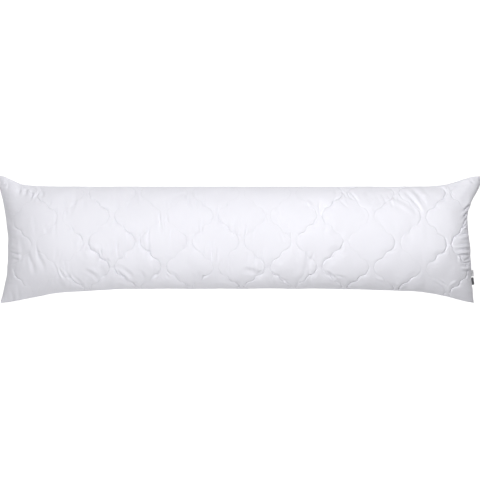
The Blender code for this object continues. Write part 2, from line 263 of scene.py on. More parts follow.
PULLS = (
    # x, y and size of a place on the upper face, and how hard its stitches pull against the average
    (-0.650, 0.040, 0.130, 0.05),
    (-0.520, 0.060, 0.090, 0.35),
    (-0.570, -0.080, 0.080, 0.40),
    (-0.390, -0.050, 0.080, 1.10),
    (-0.330, 0.100, 0.080, 0.45),
    (-0.270, -0.010, 0.060, 1.10),
    (-0.160, 0.090, 0.090, 0.35),
    (-0.110, -0.020, 0.060, 1.10),
    (-0.040, -0.080, 0.060, 0.90),
    (0.010, 0.080, 0.080, 0.40),
    (0.160, 0.060, 0.100, 0.40),
    (0.110, -0.060, 0.080, 0.90),
    (0.300, -0.060, 0.080, 0.60),
    (0.330, 0.050, 0.080, 0.30),
    (0.480, -0.030, 0.100, 0.55),
    (0.600, -0.090, 0.080, 0.45),
    (0.560, 0.100, 0.070, 0.50),
    (0.660, 0.165, 0.035, 0.00),
    (-0.470, 0.145, 0.050, 0.20),
    (-0.150, 0.150, 0.050, 0.20),
    (0.150, 0.150, 0.050, 0.30),
)
LEAST_PULL = 0.15
MOST_PULL = 2.0
UNEVEN_PULL = 1.1
UNEVEN_STITCH = 0.1100  # the length in which the pull changes

NOISE_LAYERS = {"pull": 4.2, "puckers": 2.6, "creases": 1.7, "crept": 9.1, "pleats": 5.3, "lumps": 6.4}
PANELS_APART = 7  # in noise layers, so that the two panels differ


def wander(a, b, layer, side):
    """Smooth noise, about -0.5 to 0.5, at each (a, b) of that panel's layer."""
    depth = NOISE_LAYERS[layer] + PANELS_APART * side
    return np.array([noise.noise(Vector(place)) for place in zip(a, b, depth)])


SHEAR = 0.55  # the filling shears the cloth: falling runs pull harder at -X, rising ones at +X
SHEAR_MIDDLE = 0.10
SHEAR_RUN = 0.25


def thread_pull(points, side, slope):
    """How hard the stitches pull the cloth down at these points, 1 on average."""
    x, y = points[:, 0], points[:, 1]
    pull = 1 + UNEVEN_PULL * wander(x / UNEVEN_STITCH, y / UNEVEN_STITCH, "pull", side)
    for place_x, place_y, size, share in PULLS:
        near = np.exp(-((x - place_x) ** 2 + (y - place_y) ** 2) / size**2)
        pull += np.where(side > 0, (share - 1) * near, 0)
    sheared = 1 + SHEAR * np.clip(slope, -1, 1) * np.tanh((x - SHEAR_MIDDLE) / SHEAR_RUN)
    return np.clip(pull * sheared, LEAST_PULL, MOST_PULL)


# The sewing mesh: its columns follow the stitch lines, and its rows crowd where those step. The lower panel,
# which the floor hides, has every second row and column.
BAY_STEPS = (0, 0.025, 0.07, 0.13, 0.2, 0.275, 0.35, 0.425, 0.5, 0.575, 0.65, 0.725, 0.8, 0.87, 0.93, 0.975)
END_STEPS = (0, 0.03, 0.08, 0.15, 0.22, 0.3, 0.38, 0.46, 0.54, 0.62, 0.7, 0.78, 0.86, 0.93, 1)
RUN_STEPS = (0, 0.1, 0.2, 0.29, 0.335, 0.38, 0.46, 0.54, 0.62, 0.665, 0.71, 0.8, 0.9)
SEAM_ROWS = (0.0, 0.003, 0.008)  # off each long seam
LAST_ROW = 0.0112  # the others keep that far off it


def row_places():
    """The rows' places across the panel, with a row at each step of the stitch lines."""
    turns = range(-3, 4)
    inner = [TURN_PLACE + HALF_WAVE * (turn + step) for turn in turns for step in RUN_STEPS]
    inner = [place for place in inner if abs(place) < PANEL_HALF_WIDTH - LAST_ROW]
    if len(inner) % 2 == 0:  # the lower panel takes every second row, and both long seams
        inner.pop()
    outer = [PANEL_HALF_WIDTH - off for off in SEAM_ROWS]
    return np.array([-place for place in outer] + inner + outer[::-1])


def sewing_grid():
    """Cloth places (u, v) of the mesh's rows and columns."""
    v = row_places()
    lines = [line_place(k, v) for k in range(FIRST_LINE, LAST_LINE + 1)]
    on_line = []
    columns = [lines[0] * (1 - f) - PANEL_HALF_LENGTH * f for f in reversed(END_STEPS[1:])]
    for left, right in zip(lines, lines[1:]):
        on_line.append(len(columns))
        columns += [left * (1 - f) + right * f for f in BAY_STEPS]
    on_line.append(len(columns))
    columns += [lines[-1] * (1 - f) + PANEL_HALF_LENGTH * f for f in END_STEPS]
    u = np.stack(columns, axis=1)
    return u, np.repeat(v[:, None], u.shape[1], axis=1), on_line


def panel_faces(grid, step):
    """Faces between every step-th row and column of points. Those on the rim take in all of its points."""
    last_row, last_column = grid.shape[0] - 1, grid.shape[1] - 1
    faces = []
    for row in range(0, last_row, step):
        for column in range(0, last_column, step):
            far_row, far_column = row + step, column + step
            around = [grid[row, c] for c in range(column, far_column + 1) if row == 0 or c % step == 0]
            around += [
                grid[r, far_column] for r in range(row + 1, far_row) if far_column == last_column
            ]
            around += [
                grid[far_row, c]
                for c in range(far_column, column - 1, -1)
                if far_row == last_row or c % step == 0
            ]
            around += [grid[r, column] for r in range(far_row - 1, row, -1) if column == 0]
            faces.append([int(point) for point in around])
    return faces


def add_object(name, data):
    """A new object in the scene, at the origin."""
    made = bpy.data.objects.new(name, data)
    bpy.context.scene.collection.objects.link(made)
    return made


def make_sewn_cover():
    """Both panels on the filled form, one closed mesh, with its cloth places kept as attributes."""
    u, v, on_line = sewing_grid()
    rows, columns = u.shape
    rim = np.zeros((rows, columns), bool)
    rim[[0, -1], :] = True
    rim[:, [0, -1]] = True
    below = np.zeros((rows, columns), bool)
    below[::2, ::2] = True
    below &= ~rim
    upper = np.arange(rows * columns).reshape(rows, columns)
    lower = upper.copy()
    lower[below] = rows * columns + np.arange(below.sum())
    points = np.concatenate((
        filled_form(u.ravel(), v.ravel(), 1),
        filled_form(u[below], v[below], -1),
    ))
    faces = panel_faces(upper, 1) + [face[::-1] for face in panel_faces(lower, 2)]
    mesh = bpy.data.meshes.new("quilted_pillow")
    mesh.from_pydata(points.tolist(), [], faces)
    side = np.where(np.arange(len(points)) < rows * columns, 1.0, -1.0)
    side[upper[rim]] = 0.0
    along = np.concatenate((u.ravel(), u[below]))
    across = np.concatenate((v.ravel(), v[below]))
    to_line, to_next_line, slope = nearest_lines(along, across)
    places = {
        "along": along,
        "across": across,
        "side": side,
        "to_line": to_line,
        "to_next_line": to_next_line,
        "thread_run": thread_run(across),
        "pull": thread_pull(points, side, slope),
    }
    for name, values in places.items():
        mesh.attributes.new(name, "FLOAT", "POINT").data.foreach_set("value", values.astype(np.float32))
    held = rim.copy()
    held[:, on_line] = True
    held = np.unique(np.concatenate((upper[held], lower[held & (below | rim)])))
    tips = upper[[0, 0, -1, -1], [0, -1, 0, -1]]
    cover = add_object("quilted_pillow", mesh)
    cover.vertex_groups.new(name="held").add(held.tolist(), 1.0, "REPLACE")
    return cover, tips, side == 0


def read_points(mesh):
    points = np.empty(len(mesh.vertices) * 3)
    mesh.vertices.foreach_get("co", points)
    return points.reshape(-1, 3)


def write_points(mesh, points):
    mesh.vertices.foreach_set("co", points.ravel())
    mesh.update()


def read_values(mesh, name):
    values = np.empty(len(mesh.vertices))
    mesh.attributes[name].data.foreach_get("value", values)
    return values


# Filling the panels: the seams and stitch lines hold, and the spare cloth between them swells and puckers
LOFT = 0.0048  # the wadding, which lifts the cover off the filled form
SEAM_ROUND = 0.0050  # in which the wadding thins towards a long seam
END_SEAM_ROUND = 0.0160  # and towards an end seam
FIELD_RISE = 0.0010  # the wadding between the lines, over that
FIELD_SHOULDER = 0.0060
FLANK = 0.60  # the cloth is taut and smooth where its normal's height is under this
SPARE_LEAST = 0.0  # how much more cloth there is than the span that holds it
SPARE_MOST = 0.024
SPARE_PATCH = 0.0700  # the size of the places where it has crept together
FILL_PRESSURE = 4.5
FILL_FRAMES = 20
MOST_SWELL = 0.0080


def vertex_normals(mesh):
    normals = np.empty(len(mesh.vertices) * 3)
    mesh.vertex_normals.foreach_get("vector", normals)
    return normals.reshape(-1, 3)


def seam_distance(u, v):
    return np.minimum(PANEL_HALF_WIDTH - np.abs(v), PANEL_HALF_LENGTH - np.abs(u))


def slackness(normals):
    """0 on the drawn-in flanks, where the filling pulls the cloth tight, and 1 on the faces."""
    return ease(np.abs(normals[:, 2]) / FLANK)


def wadding(u, v, to_line, to_next_line, pull, slack):
    """The quilted layer's thickness over the filled form, before its cloth puckers."""
    field = (1 - np.exp(-to_line / FIELD_SHOULDER)) * (1 - np.exp(-to_next_line / FIELD_SHOULDER)) * pull
    layer = LOFT + FIELD_RISE * field * slack
    thinner = 1 - np.exp(-(PANEL_HALF_LENGTH - np.abs(u)) / END_SEAM_ROUND)
    return layer * (1 - np.exp(-(PANEL_HALF_WIDTH - np.abs(v)) / SEAM_ROUND)) * thinner


def fill_cover(cover):
    mesh = cover.data
    places = [read_values(mesh, name) for name in ("along", "across", "to_line", "to_next_line", "pull")]
    normals = vertex_normals(mesh)
    slack = slackness(normals)
    start = read_points(mesh) + normals * wadding(*places, slack)[:, None]
    write_points(mesh, start)
    pull = np.minimum(read_values(mesh, "pull"), 1)
    taut = cover.vertex_groups.new(name="taut")
    puffed = cover.vertex_groups.new(name="puffed")
    for i, point in enumerate(start):
        patch = min(max(0.5 + noise.noise(Vector(point) / SPARE_PATCH), 0), 1)
        taut.add([i], 1 - slack[i] * (1 - patch) * pull[i], "REPLACE")
        puffed.add([i], pull[i], "REPLACE")
    swell = cover.modifiers.new("filling", "CLOTH")
    cloth = swell.settings
    cloth.quality = 6
    cloth.mass = 0.15
    cloth.air_damping = 2.0
    cloth.tension_stiffness = 30
    cloth.compression_stiffness = 5
    cloth.shear_stiffness = 3
    cloth.bending_stiffness = 0.05
    cloth.use_pressure = True
    cloth.uniform_pressure_force = FILL_PRESSURE
    cloth.vertex_group_pressure = "puffed"
    cloth.shrink_min = -SPARE_MOST
    cloth.shrink_max = -SPARE_LEAST
    cloth.vertex_group_shrink = "taut"
    cloth.vertex_group_mass = "held"
    cloth.pin_stiffness = 1.0
    cloth.effector_weights.gravity = 0
    swell.collision_settings.use_collision = False
    swell.collision_settings.use_self_collision = False
    for moment in range(1, FILL_FRAMES + 1):
        bpy.context.scene.frame_set(moment)
    filled = cover.evaluated_get(bpy.context.evaluated_depsgraph_get())
    moved = read_points(filled.data) - start
    cover.modifiers.remove(swell)
    bpy.context.scene.frame_set(1)
    length = np.linalg.norm(moved, axis=1)[:, None]
    moved *= np.minimum(1, MOST_SWELL / np.maximum(length, 1e-9))
    write_points(mesh, start + moved)


def apply_modifier(made, modifier):
    """Applies it to the object, which stays the active one."""
    bpy.ops.object.select_all(action="DESELECT")
    made.select_set(True)
    bpy.context.view_layer.objects.active = made
    bpy.ops.object.modifier_apply(modifier=modifier.name)


def smooth_once(cover, tips, on_seam):
    """One subdivision. The seam and the ears' tips keep their place."""
    mesh = cover.data
    tip_crease = np.zeros(len(mesh.vertices), np.float32)
    tip_crease[tips] = 1
    mesh.attributes.new("crease_vert", "FLOAT", "POINT").data.foreach_set("value", tip_crease)
    ends = np.empty(len(mesh.edges) * 2, int)
    mesh.edges.foreach_get("vertices", ends)
    on_both = on_seam[ends.reshape(-1, 2)].all(axis=1).astype(np.float32)
    mesh.attributes.new("crease_edge", "FLOAT", "EDGE").data.foreach_set("value", on_both)
    finer = cover.modifiers.new("finer", "SUBSURF")
    finer.levels = 1
    finer.render_levels = 1
    apply_modifier(cover, finer)


# What the needle, the seams and the handling leave on the filled cover
GROOVE_DEPTH = 0.0015  # where the stitches pull the cloth down
GROOVE_SHOULDER = 0.0020
BRIDGE_DEPTH = 0.0012  # the cross crease that joins two neighbouring turns
BRIDGE_WIDTH = 0.0030
DEEPEST_FOLD = 0.45  # of the cushion's own height above the seam there

GATHERS = (
    # y, height at the left end, height at the right end
    (-0.150, 0.0027, 0.0024),
    (-0.118, -0.0027, -0.0020),
    (-0.082, 0.0023, 0.0032),
    (-0.052, -0.0032, -0.0040),
    (-0.022, 0.0027, 0.0028),
    (0.010, -0.0023, -0.0036),
    (0.042, 0.0027, 0.0032),
    (0.074, -0.0036, -0.0044),
    (0.106, 0.0027, 0.0028),
)
GATHER_WIDTH = 0.0140
GATHER_RUN = 0.0450
GATHER_START = 0.0110  # off the seam
END_BULGE = 0.0020

FOLDS = (
    # in millimetres: x and y of one end, x and y of the other, bow, width, height (a trough is below 0)
    # the ear and end at -X, +Y
    (-661, 159, -661, 137, 0, 4.7, -2.4),
    (-650, 154, -656, 128, 0, 4.7, 1.9),
    (-638, 154, -643, 132, 0, 4.2, -2.4),
    (-626, 158, -635, 128, 0, 4.2, 1.7),
    (-614, 154, -624, 120, 0, 2.6, -1.4),
    (-611, 140, -621, 117, 0, 2.3, 1.2),
    (-600, 143, -614, 116, 0, 2.6, -1.7),
    (-609, 159, -603, 137, 0, 2.6, 1.4),
    (-590, 148, -596, 124, 6, 3.1, -1.9),
    (-587, 131, -570, 98, -3, 3.6, 1.4),
    (-563, 121, -570, 98, 0, 3.1, -1.4),
    (-695, 177, -709, 164, 0, 3.1, -1.9),
    (-696, 170, -704, 151, 0, 3.1, 1.4),
    # the end at -X
    (-692, -35, -651, -42, -3, 2.6, -2.7),
    (-684, -48, -648, -54, 0, 3.6, 2),
    (-677, -57, -657, -61, 0, 2.6, -1.6),
    (-687, -19, -654, -24, 0, 4.2, 1.4),
    (-618, -56, -614, -110, 3, 5.7, -1.4),
    # the long side at -Y, and the field beside the ear at -X
    (-398, -50, -383, -73, 0, 2.6, -1.4),
    (-468, -88, -420, -126, 6, 4.7, -2.2),
    (-462, -80, -408, -119, 6, 5.2, 1.4),
    (-557, -68, -537, -113, 3, 2.6, -1.4),
    (-548, -80, -528, -121, 0, 2.3, 1.4),
    (-539, -83, -519, -123, 0, 2.6, -1.8),
    (-530, -86, -509, -124, 0, 2.3, 1.6),
    (-522, -86, -498, -126, 0, 2.6, -1.8),
    (-510, -98, -486, -131, 0, 2.6, 1.4),
    (-495, -106, -468, -137, 0, 3.1, -1.6),
    (-521, -61, -518, -88, 0, 3.1, -1.4),
    (-345, -29, -346, -71, 0, 3.1, -1.8),
    (-372, -73, -306, -128, 6, 4.7, -2.2),
    (-381, -83, -315, -135, 6, 3.6, 1.6),
    # down from the turns along the middle
    (-504, 45, -494, 22, 0, 2.6, -2.5),
    (-477, 17, -467, -6, 0, 2.6, -2.5),
    (-430, -2, -411, -59, 7, 2.6, -3.8),
    (-440, -13, -426, -50, 6, 3.1, 2),
    (-362, 26, -359, -68, -6, 5.2, -3.8),
    (-347, 32, -346, -29, 0, 3.6, 2),
    (-294, 22, -292, -29, -6, 3.1, -3.8),
    (-265, 50, -264, -59, -9, 2.6, -4.1),
    (-276, 41, -278, -29, -6, 3.6, 2.5),
    (-242, 95, -236, 19, 0, 3.1, -3.8),
    (-225, 61, -227, 7, 0, 2.6, 2.5),
    (-205, 41, -207, -32, 0, 4.2, -3.3),
    (-189, 29, -191, -37, 0, 3.1, 2),
    (-219, 83, -213, 46, 0, 3.1, -2),
    (-116, 76, -115, 5, 0, 3.6, -2.9),
    (-102, 11, -104, -50, 0, 3.6, 2),
    (-92, 11, -84, -80, 3, 2.6, -4.9),
    (-71, -11, -74, -73, 0, 3.1, 2.9),
    (-35, -44, -33, -110, 0, 2.6, -3.3),
    (-44, -50, -42, -106, 0, 3.1, 2.5),
    (-6, 44, -2, 2, 0, 2.6, -2.9),
    (17, 56, 10, 2, 6, 2.6, -3.3),
    (39, 35, 38, -35, 0, 2.3, -2.9),
    (72, 101, 73, 35, 0, 4.2, -1.6),
    (131, 71, 132, 32, 0, 2.6, -2.5),
    (143, 61, 142, 29, 0, 2.6, -2.5),
    (118, 29, 133, -17, 0, 3.1, -2.9),
    (150, 26, 144, -2, 0, 2.6, -1.6),
    (261, -102, 285, -117, 0, 4.2, -4.1),
    (0, -91, 66, -110, 6, 7.3, -2.5),
    # the rest of the long side at -Y
    (-129, -91, -117, -119, 0, 2.9, -2.4),
    (-117, -96, -105, -119, 0, 2.9, -2.2),
    (-140, -86, -131, -113, 0, 2.6, 1.4),
    (-111, -111, -90, -105, 0, 2.6, -2),
    (-207, -95, -189, -110, 0, 2.9, -2),
    (-222, -101, -207, -119, 0, 2.9, -1.6),
    (-263, -116, -240, -96, 0, 2.9, -3),
    (-306, -88, -282, -119, 3, 3.3, -1.6),
    (-42, -59, -33, -106, -3, 3.1, -2.6),
    (-27, -56, -24, -101, 3, 3.1, -2.2),
    (48, -104, 69, -91, 0, 2.6, -2.2),
    (123, -121, 147, -134, 0, 2.9, 2.4),
    (117, -113, 141, -126, 0, 2.9, -2.4),
    (246, -95, 282, -113, 3, 3.3, -2.2),
    (279, -104, 315, -121, 3, 3.3, -1.8),
    (402, -113, 429, -124, 0, 3.3, 1.8),
    (588, -124, 618, -143, 3, 3.3, -2.2),
    (570, -116, 591, -131, 0, 2.9, 1.8),
    (621, -143, 648, -124, 3, 3.3, 1.8),
    (-366, -86, -336, -116, -3, 3.7, -2.2),
    # the long side at +Y
    (-60, 110, -59, 52, -6, 3.1, -2.5),
    (-34, 119, -36, 91, 0, 2.6, -2.1),
    (112, 98, 121, 59, 0, 2.6, -3.2),
    (102, 98, 108, 65, 0, 2.6, 1.4),
    (192, 119, 219, 91, 0, 5.2, 2.9),
    (240, 124, 244, 61, -6, 5.7, -3.5),
    (291, 121, 321, 91, 0, 3.1, -2.1),
    (328, 143, 354, 110, 0, 2.6, -2.9),
    (318, 145, 336, 121, 0, 2.6, 2.1),
    (303, 145, 319, 121, 0, 3.1, -1.8),
    # the ear at +X, +Y
    (423, 140, 439, 101, 0, 3.4, -1.3),
    (435, 144, 454, 86, 3, 3.4, -1.3),
    (444, 143, 462, 98, 0, 3.4, 1.1),
    (408, 143, 427, 110, 0, 3.4, 1.1),
    (480, 152, 538, 82, 4, 4.4, -3.6),
    (497, 152, 550, 78, 4, 4.2, 2.4),
    (516, 151, 556, 98, 3, 3.6, -3),
    (420, 128, 525, 62, 10, 6, 2.2),
    (531, 151, 566, 118, 0, 4.4, 2.2),
    (714, 181, 664, 82, 2, 8, 3.4),
    (724, 172, 674, 75, 2, 5, -4),
    # small gathers at the seam beside that ear
    (598, 160, 605, 143, 0, 3, -1.7),
    (609, 161, 616, 145, 0, 3, 1.5),
    (621, 163, 628, 147, 0, 3, -1.9),
    (634, 166, 640, 151, 0, 3, 1.3),
    # the end at +X
    (689, 110, 663, 81, 0, 3.1, -6.6),
    (684, 95, 657, 69, 0, 3.1, 4.2),
    (684, 86, 660, 61, 0, 3.1, -5.6),
    (678, 73, 658, 51, 0, 2.6, 3.8),
    (676, 69, 660, 44, 0, 2.6, -3.8),
    (672, 57, 658, 30, 0, 2.6, -3.8),
    (684, 181, 695, 167, 0, 2.6, -3.8),
    (711, 181, 723, 170, 0, 2.6, -2.9),
    (685, -12, 636, -17, 0, 2.3, -5.6),
    (687, -20, 642, -23, 0, 2.3, 5.6),
    (687, -29, 633, -30, 0, 2.3, -6),
    (690, -38, 636, -41, 0, 3.1, 5.6),
    (688, -50, 660, -63, 3, 2.6, -6),
    (684, -63, 658, -70, 3, 2.6, -4.6),
    (682, -66, 667, -86, 0, 2.3, -4.6),
    (648, -46, 654, -66, 0, 3.1, 3.8),
    (690, -76, 651, -79, 0, 2.6, -4.6),
    (691, -87, 654, -86, 0, 2.6, 4.2),
    (691, -96, 657, -94, 0, 2.6, -3.8),
    (685, 9, 645, 2, 0, 3.6, 3.8),
    (685, 18, 651, 15, 0, 3.1, -4.2),
    (684, 39, 652, 32, 0, 4.2, 3.8),
)

FOLD_TAPER = 1.5  # how sharply a fold runs out at its ends
LIP_PLACE = 1.9  # the cloth beside a fold rises the other way, that many of its widths off
LIP_SHARE = 0.45
FAR_LIP_SHARE = 0.27  # on its other side

CREASE_DEPTH = 0.0029  # fine tension creases, across the pillow, where the cloth has crept together
CREASE_SPACING = 0.0260
CREASE_LENGTH = 0.1100
CREASE_WIDTH = 0.1500  # of their spacing
CREASE_PATCH = 0.0800
CREPT_EDGE = 3.0  # how abruptly such a place ends
TAUT_START = 0.1500  # past it, towards +X, the cloth gets too taut for them
TAUT_RUN = 0.2500
PLEAT_DEPTH = 0.0022  # and along it, beside the end seams
PLEAT_SPACING = 0.0150
PLEAT_LENGTH = 0.1000
PLEAT_RUN = 0.0300
LUMP_HEIGHT = 0.0028  # of the filling's lumps
LUMP_SIZE = 0.0850
PUCKER_HEIGHT = 0.0009  # fine puckers across the stitch lines
PUCKER_LENGTH = 0.0200
PUCKER_SPACING = 0.0065
PUCKER_REACH = 0.0080


def stitched_down(u, v, first, second, pull):
    """The needle's groove along each line, and the cross crease between neighbouring turns."""
    to_turn = np.abs((v - TURN_PLACE + HALF_WAVE / 2) % HALF_WAVE - HALF_WAVE / 2)
    between = np.exp(-(((first + second) / (LINE_PITCH / 2)) ** 2))
    bridge = BRIDGE_DEPTH * between * np.exp(-((to_turn / BRIDGE_WIDTH) ** 2))
    pucker = wander(u / PUCKER_LENGTH, v / PUCKER_SPACING, "puckers", np.zeros(len(u)))
    puckers = PUCKER_HEIGHT * pucker * np.exp(-first / PUCKER_REACH)
    return (puckers - GROOVE_DEPTH * np.exp(-first / GROOVE_SHOULDER) - bridge) * pull


def tension_creases(u, v, side):
    """Thin wandering troughs: across the pillow between the stitch lines, and in from the end seams."""
    across = np.exp(-((wander(u / CREASE_SPACING, v / CREASE_LENGTH, "creases", side) / CREASE_WIDTH) ** 2))
    patch = np.clip(CREPT_EDGE * wander(u / CREASE_PATCH, v / CREASE_PATCH, "crept", side), 0, 1)
    patch *= 1 - ease((u - TAUT_START) / TAUT_RUN)
    inward = np.exp(-((wander(u / PLEAT_LENGTH, v / PLEAT_SPACING, "pleats", side) / CREASE_WIDTH) ** 2))
    near_end = np.exp(-((PANEL_HALF_LENGTH - np.abs(u)) / PLEAT_RUN))
    return -CREASE_DEPTH * across * patch * (1 - near_end) - PLEAT_DEPTH * inward * near_end


def gathers(u, y):
    """Ridges and creases that run in from the end seams."""
    to_seam = PANEL_HALF_LENGTH - np.abs(u)
    fade = np.exp(-to_seam / GATHER_RUN) * (1 - np.exp(-to_seam / GATHER_START))
    height = np.zeros(u.shape)
    for place, left, right in GATHERS:
        height += np.where(u < 0, left, right) * np.exp(-(((y - place) / GATHER_WIDTH) ** 2))
    return height * fade


def folds(x, y):
    """The listed folds, as a height over the cloth in metres."""
    height = np.zeros(x.shape)
    for row in FOLDS:
        start_x, start_y, end_x, end_y, bow, width, rise = (size / 1000 for size in row)
        half = math.hypot(end_x - start_x, end_y - start_y) / 2
        c, s = (end_x - start_x) / (2 * half), (end_y - start_y) / (2 * half)
        from_x, from_y = x - (start_x + end_x) / 2, y - (start_y + end_y) / 2
        along = np.clip((from_x * c + from_y * s) / half, -1, 1)
        across = from_y * c - from_x * s - bow * (1 - along**2)
        crease = np.exp(-((across / width) ** 2))
        near_lip = LIP_SHARE * np.exp(-((across / width - LIP_PLACE) ** 2))
        far_lip = FAR_LIP_SHARE * np.exp(-((across / width + LIP_PLACE) ** 2))
        height += rise * (1 - along**2) ** FOLD_TAPER * (crease - near_lip - far_lip)
    return height


def press_on_floor(z):
    """Keeps a height above the floor, flat where it touches."""
    soft = (z + FLOOR_SOFTNESS) ** 2 / (4 * FLOOR_SOFTNESS)
    return np.where(z <= -FLOOR_SOFTNESS, 0.0, np.where(z < FLOOR_SOFTNESS, soft, z))


def tucked_in(points):
    """The end walls hardly stand out past the end seams."""
    end = np.where(points[:, 0] < 0, -1, 1)
    reach = seam_reach(end, points[:, 1])
    out = np.abs(points[:, 0]) - reach
    kept = END_BULGE * (1 - np.exp(-np.maximum(out, 0) / END_BULGE))
    return end * (reach + np.where(out > 0, kept, out))


def finish_cover(cover):
    mesh = cover.data
    points = read_points(mesh)
    normals = vertex_normals(mesh)
    u, v, side = (read_values(mesh, name) for name in ("along", "across", "side"))
    slack = slackness(normals)
    stitches = (read_values(mesh, name) for name in ("to_line", "to_next_line", "pull"))
    relief = (stitched_down(u, v, *stitches) + tension_creases(u, v, side)) * slack
    relief += gathers(u, points[:, 1])
    relief += LUMP_HEIGHT * slack * wander(u / LUMP_SIZE, v / LUMP_SIZE, "lumps", side)
    relief += np.where(side > 0, folds(points[:, 0], points[:, 1]), 0)
    relief *= 1 - np.exp(-seam_distance(u, v) / SEAM_ROUND)
    depth = np.abs(points[:, 2] - seam_height(u, v / PANEL_HALF_WIDTH, np.where(u < 0, -1, 1)))
    points += normals * np.maximum(relief, -DEEPEST_FOLD * depth)[:, None]
    points[:, 0] = tucked_in(points)
    points[:, 2] = press_on_floor(points[:, 2])
    write_points(mesh, points)
    cloth_map = mesh.uv_layers.new(name="cloth")
    corners = np.empty(len(mesh.loops), int)
    mesh.loops.foreach_get("vertex_index", corners)
    cloth_map.uv.foreach_set("vector", np.stack((u[corners], v[corners]), axis=1).astype(np.float32).ravel())
    mesh.shade_smooth()


cover, tips, on_seam = make_sewn_cover()
fill_cover(cover)
smooth_once(cover, tips, on_seam)
finish_cover(cover)


def connect(tree, socket, value):
    """Links that value to the socket, or sets it there."""
    if isinstance(value, bpy.types.NodeSocket):
        tree.links.new(value, socket)
    else:
        socket.default_value = value


def value_of(tree, node, **sockets):
    """A node of that kind, with the values or links that its sockets are given."""
    made = tree.nodes.new(node)
    for name, value in sockets.items():
        connect(tree, made.inputs[name], value)
    return made


def calculate(tree, operation, *values):
    """A Math node's result."""
    node = tree.nodes.new("ShaderNodeMath")
    node.operation = operation
    for socket, value in zip(node.inputs, values):
        connect(tree, socket, value)
    return node.outputs[0]


def make_weave_group():
    """Plain weave: over and under threads of one pitch, as a height from 0 to 1."""
    group = bpy.data.node_groups.new("plain_weave", "ShaderNodeTree")
    group.interface.new_socket("Place", in_out="INPUT", socket_type="NodeSocketVector")
    group.interface.new_socket("Threads per metre", in_out="INPUT", socket_type="NodeSocketFloat")
    group.interface.new_socket("Height", in_out="OUTPUT", socket_type="NodeSocketFloat")
    come = group.nodes.new("NodeGroupInput")
    go = group.nodes.new("NodeGroupOutput")
    split = group.nodes.new("ShaderNodeSeparateXYZ")
    group.links.new(come.outputs["Place"], split.inputs[0])
    turned = []
    for axis in (split.outputs["X"], split.outputs["Y"]):
        counted = calculate(group, "MULTIPLY", axis, come.outputs["Threads per metre"])
        turned.append(calculate(group, "MULTIPLY", counted, math.pi))
    warp, weft = (calculate(group, "SINE", angle) for angle in turned)
    crossing = calculate(group, "MULTIPLY", warp, weft)
    height = calculate(group, "MULTIPLY_ADD", crossing, 0.5, 0.5)
    group.links.new(height, go.inputs["Height"])
    return group


PLAIN_WEAVE = make_weave_group()


def woven(tree, place, threads):
    """The height of plain weave with that many threads a metre."""
    weave = tree.nodes.new("ShaderNodeGroup")
    weave.node_tree = PLAIN_WEAVE
    connect(tree, weave.inputs["Place"], place)
    connect(tree, weave.inputs["Threads per metre"], threads)
    return weave.outputs["Height"]


def cloth_places(tree):
    """Places on the flat cloth, in metres."""
    flat = tree.nodes.new("ShaderNodeUVMap")
    flat.uv_map = "cloth"
    return flat.outputs[0]


def blend(tree, share, first, second):
    """That share of the second colour in the first."""
    mix = tree.nodes.new("ShaderNodeMix")
    mix.data_type = "RGBA"
    connect(tree, mix.inputs["Factor"], share)
    connect(tree, mix.inputs["A"], first)
    connect(tree, mix.inputs["B"], second)
    return mix.outputs["Result"]


def cloth_values(tree, name):
    """The cover's attribute of that name."""
    kept = tree.nodes.new("ShaderNodeAttribute")
    kept.attribute_name = name
    return kept.outputs["Fac"]


def fading(tree, distance, reach):
    """1 at the line, falling off over that reach."""
    return calculate(tree, "EXPONENT", calculate(tree, "MULTIPLY", distance, -1 / reach))


def cloth_noise(tree, place, along, across, detail):
    """Noise with about that many lumps a metre along the cloth and across it."""
    scaled = tree.nodes.new("ShaderNodeVectorMath")
    scaled.operation = "MULTIPLY"
    tree.links.new(place, scaled.inputs[0])
    scaled.inputs[1].default_value = (along, across, 1)
    made = value_of(tree, "ShaderNodeTexNoise", Vector=scaled.outputs[0], Scale=1.0, Detail=detail)
    return made.outputs["Fac"]


def add_bump(tree, height, distance, strength, below=None):
    """A bump, on top of the one below if there is one."""
    bump = value_of(tree, "ShaderNodeBump", Height=height, Distance=distance, Strength=strength)
    if below is not None:
        tree.links.new(below, bump.inputs["Normal"])
    return bump.outputs["Normal"]


STITCH_LENGTH = 0.0032
STITCH_GAP = 0.20  # of its length, where the thread is below the cloth
THREAD_RADIUS = 0.00030
HOLE_RADIUS = 0.0004
THREADS_PER_METRE = 2200
CLOTH_TINTS = ((0.848, 0.844, 0.899, 1), (0.868, 0.864, 0.920, 1))
# the needle holes get painted shade: a darker copy of the cloth's tint, mixed in at the share below
HOLE_PAINTED_SHADE = (0.45, 0.45, 0.49, 1)
HOLE_SHADE = 0.5


